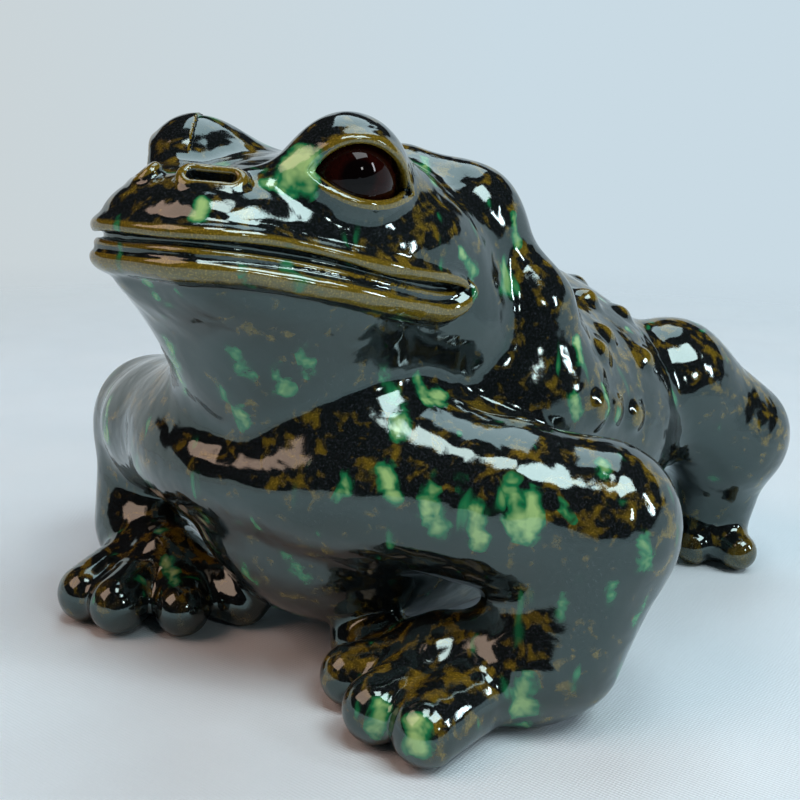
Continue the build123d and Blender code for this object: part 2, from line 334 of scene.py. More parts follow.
def mouth_height(forward):
    """Height of the line between the lips. Forward is Y, which falls towards the snout."""
    return MOUTH_MIDDLE_HEIGHT - MOUTH_HALF_FALL * np.tanh(
        (forward - MOUTH_STEP_PLACE) / MOUTH_STEP_LENGTH
    )


def lip_line(points, skin, offset, radius):
    """A roll of clay that follows the head at a height above the mouth line."""
    forward = points[..., 1]
    closing = np.clip((forward - MOUTH_CORNER) / MOUTH_CORNER_LENGTH + 1, 0, 1)
    height = mouth_height(forward) + offset * np.sqrt(1 - closing * closing)
    past = np.maximum(forward - MOUTH_CORNER, 0)
    return np.sqrt((skin + LIP_SET_IN) ** 2 + (points[..., 2] - height) ** 2 + past**2) - radius


def eye_coordinates(points):
    """Places along and up the opening of the eye, outward from it, and from the eye's centre."""
    local = points - EYE_CENTRE
    along, up = local @ EYE_ALONG - OPENING_SHIFT, local @ EYE_UP - OPENING_LEVEL
    return along, up, local @ EYE_OUT, length(local)


def arc(half_width, rise):
    """The radius of an arc through both corners, and how far its centre lies off their line."""
    radius = (half_width**2 + rise**2) / (2 * rise)
    return radius, radius - rise


def almond(along, up):
    """Distance from the edge of the eye's opening, negative inside it."""
    upper_radius, upper_offset = arc(OPENING_HALF_WIDTH, OPENING_RISE)
    lower_radius, lower_offset = arc(OPENING_HALF_WIDTH, OPENING_DROP)
    return np.maximum(
        np.hypot(along, up + upper_offset) - upper_radius,
        np.hypot(along, up - lower_offset) - lower_radius,
    )


def nostril_coordinates(points):
    """Distances from the middle line of a nostril, in the plane of its ring and above it."""
    local = points - NOSTRIL
    along = local @ NOSTRIL_ALONG
    past = np.maximum(np.abs(along) - NOSTRIL_HALF_LENGTH, 0)
    side = np.cross(NOSTRIL_OUT, NOSTRIL_ALONG)
    return np.hypot(past, local @ side), local @ NOSTRIL_OUT


def clay(points):
    """Distances from points to each part of the clay, and to the glazed body as a whole."""
    mirrored = points * np.float32((0, 1, 1))
    mirrored[..., 0] = np.abs(points[..., 0])
    low, high = mirrored.min(0), mirrored.max(0)
    parts = {}
    for form in FORMS:
        if np.any(form.low > high) or np.any(form.high < low):
            continue
        value = form.distance(mirrored)
        if form.part in parts:
            value = smooth_min(parts[form.part], value, form.blend)
        parts[form.part] = value
    for part in PARTS + ("fold",):
        if part not in parts:
            parts[part] = np.full(len(points), FAR)
    parts["torso"] = smooth_min(parts["torso"], parts.pop("fold"), FOLD_BLEND)

    along, up, out, far = eye_coordinates(mirrored)
    opening = almond(along, up)
    lid_skin = np.where(out > 0, far - EYE_RADIUS - LID_THICKNESS, FAR)
    parts["head"] = smooth_min(parts["head"], lid_skin, LID_BLEND)
    parts["eyelid"] = np.where(
        out > 0,
        np.hypot(opening, far - EYE_RADIUS - LID_RIM_STAND) - clay_sizes["lid_roll"],
        FAR,
    )
    ring, above = nostril_coordinates(mirrored)
    skin = parts["head"]
    if ring.min() < 2 * NOSTRIL_RING:
        tube = np.hypot(ring - NOSTRIL_RING, above) - NOSTRIL_RING_RADIUS
        skin = smooth_min(skin, tube, NOSTRIL_BLEND)
        slot = NOSTRIL_SLOT - np.hypot(ring, above / NOSTRIL_SLOT_DEPTH_SHARE)
        skin = smooth_max(skin, slot, NOSTRIL_SLOT_BLEND)
    parts["head"] = skin
    upper_lip = lip_line(mirrored, skin, UPPER_LIP_RISE, clay_sizes["upper_lip_roll"])
    parts["head"] = smooth_min(skin, upper_lip, UPPER_LIP_BLEND)
    parts["lip"] = lip_line(mirrored, skin, -LIP_DROP, clay_sizes["lip_roll"])

    ahead, height = -mirrored[..., 1], mirrored[..., 2]
    throat_share = smooth_step(0, THROAT_FROM, ahead)
    breast_share = smooth_step(*BREAST_DEPTHS, ahead) * smooth_step(*BREAST_HEIGHTS, height)
    body = smooth_min(parts["torso"], parts["head"], HEAD_BLEND + THROAT_BLEND * throat_share)
    body = smooth_min(body, parts["front_leg"], LEG_BLEND + BREAST_BLEND * breast_share)
    body = smooth_min(body, parts["hind_leg"], LEG_BLEND)
    groove = lip_line(mirrored, skin, MOUTH_GROOVE_RISE, MOUTH_GROOVE_RADIUS)
    inner_lip = lip_line(mirrored, skin, -INNER_LIP_DROP, INNER_LIP_RADIUS)
    body = smooth_max(body, -groove, LIP_BLEND)
    body = smooth_min(body, inner_lip, INNER_LIP_BLEND)
    body = smooth_min(body, parts["lip"], LIP_BLEND)
    socket = np.where(out > 0, np.maximum(opening, far - EYE_RADIUS - SOCKET_DEPTH), FAR)
    body = smooth_max(body, -socket, OPENING_BLEND)
    body = smooth_min(body, parts["eyelid"], LID_ROLL_BLEND)
    body = smooth_min(body, parts["wart"], WART_BLEND)
    body = np.maximum(body, EYE_RADIUS - SOCKET_CLEARANCE - far)
    body = body + swell(points)
    body = smooth_max(body, -points[..., 2], clay_sizes["foot_rounding"])
    return parts, body


# Slow waves of a hand-modelled surface: length of a wave, direction, shift
SWELL_WAVES = [
    (15, (0.8, 0.5, 0.3), 0.3),
    (19, (-0.4, 0.8, 0.45), 1.7),
    (13, (0.2, -0.5, 0.84), 2.9),
    (17, (0.6, 0.1, -0.8), 4.2),
    (11, (-0.7, 0.6, -0.4), 5.0),
]


def swell(points):
    """Height of the slow waves at each point."""
    total = 0
    for wave, direction, shift in SWELL_WAVES:
        total = total + np.sin(points @ np.float32(direction) * (2 * math.pi / wave) + shift)
    return total * (clay_sizes["swell"] / len(SWELL_WAVES))


def glazed_body(points):
    return clay(points)[1]


def piece_distance(points, part, side):
    """Distance to one piece: the glazed body where its part is nearest, and a seam under others."""
    parts, body = clay(points)
    others = np.full(len(points), FAR)
    for name in PARTS:
        if name != part:
            others = np.minimum(others, parts[name])
    over = (parts[part] - others) / 2
    if part in PAIRED:
        over = np.maximum(over, -side * points[..., 0])
    reach = SMALL_SEAM_REACH if part in SMALL_PARTS else SEAM_REACH
    piece = np.maximum(body + SEAM_SLOPE * np.maximum(over, 0), over - reach)
    if part == "torso":
        from_vent = np.hypot(points[..., 0] - VENT_CENTRE[0], points[..., 1] - VENT_CENTRE[1])
        vent = np.maximum(from_vent - VENT_RADIUS, points[..., 2] - VENT_DEPTH)
        piece = np.maximum(piece, -vent)
    return piece


# Grid of each piece: voxels along a block, the distance that the grid holds at most, and the
# share of a block from its middle to its corner, with room for forms that measure short
BLOCK = 16
GRID_REACH = 3
NEAR_SHARE = 1.1

# Points that a thread takes at once, the step that slopes are measured over, and the longest
# move and the gentlest slope that settling takes
CHUNK = 6000
PROBE = 0.35
LONGEST_MOVE = 0.4
GENTLEST_SLOPE_SQUARED = 0.2


def in_chunks(points, work, size=CHUNK):
    """Runs work on neighbouring points together, on all cores."""
    if not len(points):
        return np.zeros(0, np.float32)
    spans = [points[start:start + size] for start in range(0, len(points), size)]
    with ThreadPoolExecutor() as pool:
        return np.concatenate(list(pool.map(work, spans)))


def sample_grid(distance, low, high, voxel):
    """Distances on a grid, worked out only in the blocks that the surface passes."""
    counts = np.ceil((high - low) / (BLOCK * voxel)).astype(int)
    corners = np.stack(np.meshgrid(*map(np.arange, counts), indexing="ij"), -1).reshape(-1, 3)
    middles = (low + (corners + 0.5) * BLOCK * voxel).astype(np.float32)
    far = in_chunks(middles, distance, BLOCK)
    grid = np.clip(far, -GRID_REACH, GRID_REACH).reshape(counts)
    for axis in range(3):
        grid = np.repeat(grid, BLOCK, axis)
    steps = np.stack(np.meshgrid(*[np.arange(BLOCK)] * 3, indexing="ij"), -1).reshape(-1, 3)
    near = corners[np.abs(far) < BLOCK * voxel * NEAR_SHARE + GRID_REACH / 2] * BLOCK
    points = (low + (near[:, None] + steps) * voxel).astype(np.float32).reshape(-1, 3)
    values = in_chunks(points, distance, BLOCK**3)
    for (x, y, z), block in zip(near, values.reshape(-1, BLOCK, BLOCK, BLOCK)):
        grid[x:x + BLOCK, y:y + BLOCK, z:z + BLOCK] = block
    return grid


def slope(points, distance, step=PROBE):
    """Gradient of a distance, and its Laplacian, which is large where the surface is sharp."""
    middle = in_chunks(points, distance)
    gradient = np.empty_like(points)
    bend = -6 * middle
    for axis in range(3):
        shift = np.zeros(3, np.float32)
        shift[axis] = step
        ahead = in_chunks(points + shift, distance)
        behind = in_chunks(points - shift, distance)
        gradient[:, axis] = (ahead - behind) / (2 * step)
        bend = bend + ahead + behind
    return middle, gradient, bend / step**2


def settle(points, distance, rounds=2):
    """Moves points onto the surface along the gradient."""
    for _ in range(rounds):
        value, gradient, _ = slope(points, distance)
        squared = np.maximum((gradient * gradient).sum(-1), GENTLEST_SLOPE_SQUARED)
        step = np.clip(value / squared, -LONGEST_MOVE, LONGEST_MOVE)
        points = points - gradient * step[:, None]
    return points


PELLETS = []
WART_SUNK_SHARE = 0.5


def add_warts():
    """Seats a clay ball on the sculpted back where the frame has a pellet."""
    for middle, radius in wart_forms():
        place = settle(np.float32(middle)[None], glazed_body, 4)
        _, gradient, _ = slope(place, glazed_body)
        outward = gradient[0] / length(gradient[0])
        centre = place[0] - outward * radius * WART_SUNK_SHARE
        PELLETS.append(egg("wart", centre, (radius, radius, radius), blend=1))
    FORMS.extend(PELLETS)


# Splashes of copper glaze that ran, listed one by one: start, end, radius at each, strength
SPLASHES = [
    ((16.8, -51.7, 95.2), (16, -53, 93), 3.4, 2.4, 1.2),
    ((18, -52, 92), (13, -55.5, 91), 2.2, 1.6, 0.75),
    ((-6.1, -57.4, 66.3), (-9, -52.9, 56.2), 2.4, 1.8, 0.6),
    ((7.8, -56.4, 65.6), (7.5, -53.8, 61.1), 1.8, 2, 0.65),
    ((12.8, -53.1, 63.5), (12.8, -51.5, 59.2), 1.4, 1.9, 0.85),
    ((4.9, -53.7, 55.5), (5.2, -54.1, 51.5), 1.1, 1.6, 0.7),
    ((29.8, -34.7, 59.9), (31.4, -35, 57.3), 2.3, 1.6, 1.1),
    ((29.4, -40, 56.2), (30.1, -42.8, 52.3), 1.5, 1.8, 0.65),
    ((36.9, -42.5, 43.1), (38.7, -42, 38.1), 1.6, 2.3, 1.1),
    ((48.3, -36.1, 45), (50.7, -37.7, 39.7), 1.6, 2.5, 1.2),
    ((40.7, -39.4, 45.4), (41.7, -39.8, 43.4), 1.4, 1.6, 0.95),
    ((25, -49.6, 43.1), (22.7, -50.3, 40.4), 1.5, 1.2, 0.9),
    ((56.9, -35.1, 43.8), (59.6, -35.6, 41.2), 1, 1.4, 0.8),
    ((68.5, -28, 38), (69, -27, 33), 1.4, 1.8, 0.6),
    ((30.7, -46.9, 46.9), (32, -47, 43), 1.4, 1.8, 0.9),
    ((37.4, -44.9, 42.5), (37.4, -44.5, 39.5), 1.2, 1.6, 0.9),
    ((45, -41.9, 41.5), (45.5, -41.5, 37), 1.5, 2, 1.1),
    ((52.2, -36.7, 44.5), (52.6, -37.5, 38.5), 1.4, 2, 1.1),
    ((59, -25.2, 48.2), (60, -26.5, 46.5), 1.2, 1.4, 0.7),
    ((30.6, -30.4, 56.8), (31, -33, 56), 1.6, 1.8, 1),
    ((8, -58.1, 66.2), (8.6, -56, 62), 1.2, 1.8, 0.7),
    ((25.2, -50.5, 45.6), (25.5, -50.7, 43), 1, 1.4, 0.7),
    ((64.2, -30.1, 30), (64.6, -30, 26.5), 1, 1.6, 0.6),
    ((57.5, -34.1, 28), (57.8, -34, 24), 0.9, 1.4, 0.5),
    ((44.9, -6.9, 54), (45.6, -6.6, 51), 1.3, 1.6, 0.9),
    ((47.1, 0.9, 52.3), (48, 1, 49), 1.2, 1.4, 0.8),
    ((70.9, -24.4, 26.4), (69, -25, 21), 1.4, 1.8, 0.6),
    ((-56.2, -33.9, 45.6), (-53, -35.7, 44.2), 1.8, 1.6, 0.9),
    ((-48, -38, 44), (-47, -40, 37), 1.4, 2.2, 0.9),
    ((-29, -41.5, 13), (-23.2, -45, 11.3), 1.6, 1.5, 0.8),
    ((54.3, -39.3, 12.8), (54.3, -38.9, 7.4), 1.6, 2.6, 1),
    ((36.3, -54.9, 9.5), (36.6, -56.1, 5.6), 1.8, 2, 0.8),
    ((43.8, -56.2, 10), (45.1, -57.1, 6.9), 2, 2.2, 1.1),
    ((42.3, -2.4, 63.3), (43.5, -3.1, 60), 1.1, 1.5, 0.9),
    ((46.4, 2.3, 54), (47, 1, 51), 1.2, 1.4, 0.8),
    ((15.3, -14.7, 97), (24, -24, 92.6), 0.9, 1.3, 0.75),
    ((30.7, -8.3, 86), (31.8, -8.5, 81.7), 0.9, 1.2, 0.85),
    ((31.8, -27.4, 81.2), (31.8, -23.9, 77.6), 1, 1.4, 0.9),
    ((10, -66.6, 89.7), (10.5, -67.6, 87.6), 1.2, 1.5, 1),
    ((-3.6, -48.7, 95.3), (-1, -51, 94.6), 1.4, 1.6, 0.8),
    ((10.5, -49.2, 27.3), (12.3, -46.8, 22.1), 1.5, 2, 0.5),
    ((-0.2, -69.9, 79.5), (0, -68.5, 74), 0.9, 1.2, 0.6),
    ((16.9, -65.5, 80.7), (17, -62.5, 75), 0.9, 1.2, 0.6),
    ((17.6, -52.7, 66.8), (18, -51, 62), 1.2, 1.5, 0.5),
    ((26.3, -40.6, 61.6), (27, -40, 58), 1.5, 1.8, 0.6),
    ((12, 30, 76), (20, 38, 68), 1.6, 2.4, 0.9),
    ((-16, 18, 76), (-28, 20, 66), 1.6, 2.4, 1),
    ((36, 58, 58), (46, 64, 46), 1.6, 2.6, 0.9),
    ((-44, 44, 58), (-54, 50, 46), 1.6, 2.6, 1),
    ((-32, -10, 84), (-35, -8, 72), 1.2, 2, 0.8),
    ((-62, -22, 46), (-70, -20, 36), 1.4, 2.4, 1),
]

SPLASH_EDGE_SHARE = 0.7


def splashes(places):
    """How thick the copper glaze lies at each place."""
    thickness = np.zeros(len(places), np.float32)
    ends = np.float32([row[:2] for row in SPLASHES]).reshape(-1, 3)
    ends = settle(ends, glazed_body).reshape(-1, 2, 3)
    for (start, end), (_, _, start_radius, end_radius, strength) in zip(ends, SPLASHES):
        run = limb("splash", start, end, start_radius, end_radius)
        near = np.all((places > run.low) & (places < run.high), 1)
        if near.any():
            edge = SPLASH_EDGE_SHARE * end_radius
            share = 1 - smooth_step(-end_radius, edge, run.distance(places[near]))
            thickness[near] = np.maximum(thickness[near], share * strength)
    return thickness


# A point this near the glazed body shows, and takes its smooth normal
VISIBLE_DEPTH = 0.3


def sculpt(name, part, side, box, voxel):
    """Makes one piece of the glazed body as a closed mesh that rides on the frame."""
    low = np.float32(box[0]) - 2 * voxel
    high = np.float32(box[1]) + 2 * voxel

    def piece(points):
        return piece_distance(points, part, side)

    grid = sample_grid(piece, low, high, voxel)
    volume = openvdb.FloatGrid(background=float(GRID_REACH))
    volume.copyFromArray(grid)
    places, _, quads = volume.convertToPolygons(isovalue=0.0, adaptivity=0.0)
    places = settle((low + places * voxel).astype(np.float32), piece)
    _, gradient, _ = slope(places, piece)
    sunk, skin_gradient, skin_bend = slope(places, glazed_body)
    visible = np.abs(sunk) < VISIBLE_DEPTH
    gradient = np.where(visible[:, None], skin_gradient, gradient)
    normals = gradient / np.maximum(length(gradient), TINY)[:, None]

    mesh = bpy.data.meshes.new(name)
    mesh.vertices.add(len(places))
    places[:, 2] = np.maximum(places[:, 2], 0)
    mesh.vertices.foreach_set("co", (places * UNIT).ravel())
    mesh.loops.add(quads.size)
    mesh.loops.foreach_set("vertex_index", quads.ravel())
    mesh.polygons.add(len(quads))
    mesh.polygons.foreach_set("loop_start", np.arange(0, quads.size, 4))
    mesh.update(calc_edges=True)
    mesh.shade_smooth()
    mesh.normals_split_custom_set_from_vertices(normals)
    sharpness = mesh.attributes.new("sharpness", "FLOAT", "POINT")
    sharpness.data.foreach_set("value", np.where(visible, skin_bend, 0).astype(np.float32))
    splash = mesh.attributes.new("splash", "FLOAT", "POINT")
    splash.data.foreach_set("value", splashes(places).astype(np.float32))
    return add_object(name, mesh)


# Names of the frog's materials
DARK_GLAZE = "dark flowing stoneware glaze"
AMBER_GLAZE = "amber glaze over rolled clay"
EYE_GLASS = "dark pressed glass"

# Sockets of a Mix node that mixes colours
MIX, MIX_FROM, MIX_TO, MIXED = 0, 6, 7, 2


def node(tree, kind, inputs=None, **settings):
    """Adds a shader node, sets its properties, and sets or links its inputs."""
    made = tree.nodes.new("ShaderNode" + kind)
    for name, value in settings.items():
        setattr(made, name, value)
    for socket, value in (inputs or {}).items():
        if isinstance(value, bpy.types.NodeSocket):
            tree.links.new(value, made.inputs[socket])
        else:
            made.inputs[socket].default_value = value
    return made


def linear(colour):
    """Linear colour with alpha, from an sRGB hex value."""
    shares = [int(colour[start:start + 2], 16) / 255 for start in (1, 3, 5)]
    return tuple(
        share / 12.92 if share <= 0.04045 else ((share + 0.055) / 1.055) ** 2.4 for share in shares
    ) + (1,)


def per_metre(millimetres):
    """Scale of a texture whose pattern repeats at a real size."""
    return 1 / (millimetres * METRES)


def chosen(name):
    """A colour of the sidebar, with alpha."""
    return tuple(getattr(bpy.context.scene.frog_colours, name)) + (1,)


def material(name):
    """An empty material and its node tree."""
    made = bpy.data.materials.new(name)
    made.use_nodes = True
    made.node_tree.nodes.clear()
    return made, made.node_tree


def glaze_material(name, sharp_from, sharp_to):
    """Glossy lead-bright stoneware glaze, poured thick, dried and fired.

    It runs off ridges, where it thins to amber, and pools dark with fine grey crystals.
    Copper splashes melt into green runs. The bare buff clay shows only under the foot.
    """
    made, tree = material(name)
    coordinates = node(tree, "TexCoord")
    place = coordinates.outputs["Object"]
    crystals = node(tree, "TexNoise", {
        "Vector": place, "Scale": per_metre(0.32), "Detail": 2.0, "Roughness": 0.7,
    })
    crystal_share = node(tree, "MapRange", {
        "Value": crystals.outputs["Fac"], "From Min": 0.5, "From Max": 0.74,
    })
    pool = node(tree, "Mix", {
        MIX: crystal_share.outputs["Result"], MIX_FROM: chosen("dark"), MIX_TO: chosen("crystal"),
    }, data_type="RGBA")

    # Amber breaks through on ridges, and in mottles that are denser on what faces up
    facing = node(tree, "SeparateXYZ", {0: coordinates.outputs["Normal"]})
    upward = node(tree, "MapRange", {
        "Value": facing.outputs["Z"], "From Min": -0.4, "From Max": 0.7,
        "To Min": -0.06, "To Max": 0.045,
    })
    mottle = node(tree, "TexNoise", {
        "Vector": place, "Scale": per_metre(3.1), "Detail": 2.0, "Roughness": 0.55,
        "Distortion": 0.35,
    })
    patches = node(tree, "TexNoise", {
        "Vector": place, "Scale": per_metre(19), "Detail": 1.0,
    })
    patch_push = node(tree, "MapRange", {
        "Value": patches.outputs["Fac"], "From Min": 0.35, "From Max": 0.65,
        "To Min": -0.07, "To Max": 0.07,
    })
    pushed = node(tree, "Math", {
        0: mottle.outputs["Fac"], 1: upward.outputs["Result"],
    }, operation="ADD")
    pushed = node(tree, "Math", {
        0: pushed.outputs[0], 1: patch_push.outputs["Result"],
    }, operation="ADD")
    mottle_share = node(tree, "MapRange", {
        "Value": pushed.outputs[0], "From Min": 0.55, "From Max": 0.71, "To Max": 0.9,
    })
    sharp = node(tree, "Attribute", attribute_name="sharpness")
    roughened = node(tree, "Math", {
        0: mottle.outputs["Fac"], 1: 0.35, 2: -0.17,
    }, operation="MULTIPLY_ADD")
    edge = node(tree, "Math", {
        0: sharp.outputs["Fac"], 1: roughened.outputs[0],
    }, operation="ADD")
    edge_share = node(tree, "MapRange", {
        "Value": edge.outputs[0], "From Min": sharp_from, "From Max": sharp_to,
    })
    amber_share = node(tree, "Math", {
        0: edge_share.outputs["Result"], 1: mottle_share.outputs["Result"],
    }, operation="MAXIMUM")
    amber = node(tree, "Mix", {
        MIX: crystal_share.outputs["Result"], MIX_FROM: chosen("amber"), MIX_TO: chosen("gold"),
    }, data_type="RGBA")
    colour = node(tree, "Mix", {
        MIX: amber_share.outputs[0], MIX_FROM: pool.outputs[MIXED], MIX_TO: amber.outputs[MIXED],
    }, data_type="RGBA")

    # Copper green: the listed splashes, and fainter runs drawn out downwards
    drawn_out = node(tree, "Mapping", {
        "Vector": place, "Scale": (1.0, 1.0, 0.36), "Rotation": (0.0, 0.1, 0.3),
    })
    runs = node(tree, "TexNoise", {
        "Vector": drawn_out.outputs["Vector"], "Scale": per_metre(6.5), "Detail": 2.0,
        "Roughness": 0.55, "Distortion": 0.4,
    })
    run_share = node(tree, "MapRange", {
        "Value": runs.outputs["Fac"], "From Min": 0.62, "From Max": 0.76, "To Max": 0.75,
    })
    splash = node(tree, "Attribute", attribute_name="splash")
    torn = node(tree, "Math", {
        0: mottle.outputs["Fac"], 1: 1.8, 2: -0.95,
    }, operation="MULTIPLY_ADD")
    torn_splash = node(tree, "Math", {
        0: splash.outputs["Fac"], 1: torn.outputs[0],
    }, operation="ADD")
    present = node(tree, "Math", {
        0: splash.outputs["Fac"], 1: 0.12,
    }, operation="GREATER_THAN")
    splash_share = node(tree, "Math", {
        0: torn_splash.outputs[0], 1: present.outputs[0],
    }, operation="MULTIPLY", use_clamp=True)
    green_share = node(tree, "Math", {
        0: splash_share.outputs[0], 1: run_share.outputs["Result"],
    }, operation="MAXIMUM", use_clamp=True)
    green = node(tree, "ValToRGB", {"Fac": green_share.outputs[0]})
    stops = green.color_ramp.elements
    stops[0].position, stops[0].color = 0.1, chosen("deep_green")
    stops[1].position, stops[1].color = 0.95, chosen("mint")
    middle = stops.new(0.45)
    middle.color = chosen("green")
    covering = node(tree, "MapRange", {
        "Value": green_share.outputs[0], "From Min": 0.05, "From Max": 0.4, "To Max": 0.92,
    })
    colour = node(tree, "Mix", {
        MIX: covering.outputs["Result"], MIX_FROM: colour.outputs[MIXED],
        MIX_TO: green.outputs["Color"],
    }, data_type="RGBA")

    height = node(tree, "SeparateXYZ", {0: place})
    bare = node(tree, "MapRange", {
        "Value": height.outputs["Z"], "From Min": 0.5 * METRES, "From Max": 0.2 * METRES,
    })
    colour = node(tree, "Mix", {
        MIX: bare.outputs["Result"], MIX_FROM: colour.outputs[MIXED], MIX_TO: chosen("clay"),
    }, data_type="RGBA")
    roughness = node(tree, "MapRange", {
        "Value": bare.outputs["Result"], "To Min": 0.055, "To Max": 0.8,
    })

    # The melt stays slightly wavy, and pits a little over the crystals
    waves = node(tree, "TexNoise", {
        "Vector": place, "Scale": per_metre(5), "Detail": 1.0, "Distortion": 0.3,
    })
    waved = node(tree, "Bump", {
        "Height": waves.outputs["Fac"], "Distance": 0.55 * METRES, "Strength": 0.55,
    })
    pitted = node(tree, "Bump", {
        "Height": crystals.outputs["Fac"], "Distance": 0.012 * METRES, "Strength": 0.6,
        "Normal": waved.outputs["Normal"],
    })
    shader = node(tree, "BsdfPrincipled", {
        "Base Color": colour.outputs[MIXED], "Roughness": roughness.outputs["Result"],
        "IOR": 1.9, "Specular Tint": chosen("sheen"), "Normal": pitted.outputs["Normal"],
    })
    node(tree, "OutputMaterial", {"Surface": shader.outputs["BSDF"]})
    return made


PUPIL = "#060303"


def eye_material():
    """Pressed glass eye: a dark red-brown iris with fine rays round a black pupil, fire-polished."""
    made, tree = material(EYE_GLASS)
    spread = node(tree, "Attribute", attribute_name="iris")
    place = node(tree, "TexCoord").outputs["Object"]
    rays = node(tree, "TexNoise", {
        "Vector": place, "Scale": per_metre(0.9), "Detail": 3.0, "Roughness": 0.7,
    })
    iris = node(tree, "Mix", {
        MIX: rays.outputs["Fac"], MIX_FROM: chosen("glass"), MIX_TO: chosen("iris"),
    }, data_type="RGBA")
    share = node(tree, "MapRange", {
        "Value": spread.outputs["Fac"], "From Min": 0.3, "From Max": 0.42,
    })
    colour = node(tree, "Mix", {
        MIX: share.outputs["Result"], MIX_FROM: linear(PUPIL), MIX_TO: iris.outputs[MIXED],
    }, data_type="RGBA")
    shader = node(tree, "BsdfPrincipled", {
        "Base Color": colour.outputs[MIXED], "Roughness": 0.02, "IOR": 1.28,
    })
    node(tree, "OutputMaterial", {"Surface": shader.outputs["BSDF"]})
    return made


# Threads of the cloth, and the share of a turn that a wave texture makes over a unit
THREAD_PITCH = 0.6
WAVE_TURN = 2 * math.pi / 20


def cotton_material():
    """Woven cotton cloth, dyed pale blue: matt, with a thread every 0.6 mm.

    Far from the frog it thins out to the studio's own pale light, so that no edge shows.
    """
    made, tree = material("pale blue woven cotton")
    place = node(tree, "TexCoord").outputs["Object"]
    threads = []
    for direction in ("X", "Y"):
        threads.append(node(tree, "TexWave", {
            "Vector": place, "Scale": per_metre(THREAD_PITCH) * WAVE_TURN,
            "Distortion": 1.5, "Detail": 2.0, "Detail Scale": 1.5,
        }, wave_type="BANDS", bands_direction=direction))
    weave = node(tree, "Math", {
        0: threads[0].outputs["Fac"], 1: threads[1].outputs["Fac"],
    }, operation="ADD")
    folds = node(tree, "TexNoise", {
        "Vector": place, "Scale": per_metre(60), "Detail": 2.0,
    })
    # Painted shade: the low parts of the folds take the darker cloth colour, from the same noise that
    # raises the folds in the bump below
    tone = node(tree, "Mix", {
        MIX: folds.outputs["Fac"], MIX_FROM: chosen("cloth_painted_fold_shade"), MIX_TO: chosen("cloth"),
    }, data_type="RGBA")
    slack = node(tree, "Bump", {
        "Height": folds.outputs["Fac"], "Distance": 6 * METRES, "Strength": 0.5,
    })
    woven = node(tree, "Bump", {
        "Height": weave.outputs[0], "Distance": 0.1 * METRES, "Strength": 0.4,
        "Normal": slack.outputs["Normal"],
    })
    shader = node(tree, "BsdfPrincipled", {
        "Base Color": tone.outputs[MIXED], "Roughness": 0.9, "Specular IOR Level": 0.1,
        "Normal": woven.outputs["Normal"],
    })
    far = node(tree, "VectorMath", {0: place}, operation="LENGTH")
    fading = node(tree, "MapRange", {
        "Value": far.outputs["Value"], "From Min": 0.16, "From Max": 0.75,
    }, interpolation_type="SMOOTHSTEP")
    clear = node(tree, "BsdfTransparent")
    mixed = node(tree, "MixShader", {
        0: fading.outputs["Result"], 1: shader.outputs["BSDF"], 2: clear.outputs["BSDF"],
    })
    node(tree, "OutputMaterial", {"Surface": mixed.outputs["Shader"]})
    return made


def shared_material(name):
    """A material of the frog, made when the first piece asks for it."""
    made = bpy.data.materials.get(name)
    if made:
        return made
    if name == DARK_GLAZE:
        return glaze_material(DARK_GLAZE, 0.34, 0.62)
    if name == AMBER_GLAZE:
        return glaze_material(AMBER_GLAZE, 0.2, 0.42)
    return eye_material()


def add_object(name, data):
    made = bpy.data.objects.new(name, data)
    bpy.context.scene.collection.objects.link(made)
    return made


EYE_RINGS = 48
EYE_SPOKES = 96


def eye_mesh(side):
    """A smooth ball of glass, turned about its outward line."""
    places, faces, spread = [], [], []
    for ring in range(EYE_RINGS + 1):
        polar = math.pi * ring / EYE_RINGS
        for spoke in range(EYE_SPOKES):
            angle = 2 * math.pi * spoke / EYE_SPOKES
            local = (
                EYE_ALONG * (math.sin(polar) * math.cos(angle))
                + EYE_UP * (math.sin(polar) * math.sin(angle))
                + EYE_OUT * math.cos(polar)
            )
            place = (EYE_CENTRE + local * EYE_RADIUS) * UNIT
            places.append((place[0] * side, place[1], place[2]))
            spread.append(math.sin(polar) if polar < math.pi / 2 else 1)
    for ring in range(EYE_RINGS):
        for spoke in range(EYE_SPOKES):
            following = (spoke + 1) % EYE_SPOKES
            faces.append((
                ring * EYE_SPOKES + spoke, (ring + 1) * EYE_SPOKES + spoke,
                (ring + 1) * EYE_SPOKES + following, ring * EYE_SPOKES + following,
            )[::side])
    mesh = bpy.data.meshes.new("eye")
    mesh.from_pydata(places, [], faces)
    mesh.attributes.new("iris", "FLOAT", "POINT").data.foreach_set("value", spread)
    mesh.validate()
    mesh.update()
    mesh.shade_smooth()
    return mesh


# The camera of the photograph, in degrees and millimetres
PHOTO_AZIMUTH = 34.8
PHOTO_ELEVATION = 14.01
PHOTO_DISTANCE = 220.3
PHOTO_FIELD = 43.91
PHOTO_ROLL = 1.19
PHOTO_TARGET = (-0.94, 2.19, 44.09)


def towards(azimuth, elevation):
    """Direction from the frog, with azimuth 0 at its front and 90 at its left."""
    azimuth, elevation = math.radians(azimuth), math.radians(elevation)
    return Vector((
        math.sin(azimuth) * math.cos(elevation),
        -math.cos(azimuth) * math.cos(elevation),
        math.sin(elevation),
    ))


def add_camera():
    data = bpy.data.cameras.new("camera")
    data.sensor_fit = "HORIZONTAL"
    data.angle = math.radians(PHOTO_FIELD)
    data.clip_start = 0.01
    camera = add_object("camera", data)
    back = towards(PHOTO_AZIMUTH, PHOTO_ELEVATION)
    right = Vector((0, 0, 1)).cross(back).normalized()
    up = back.cross(right)
    roll = math.radians(PHOTO_ROLL)
    right, up = (
        right * math.cos(roll) + up * math.sin(roll),
        up * math.cos(roll) - right * math.sin(roll),
    )
    matrix = Matrix((right, up, back)).transposed().to_4x4()
    matrix.translation = (Vector(PHOTO_TARGET) + back * PHOTO_DISTANCE) * UNIT
    camera.matrix_world = matrix
    bpy.context.scene.camera = camera


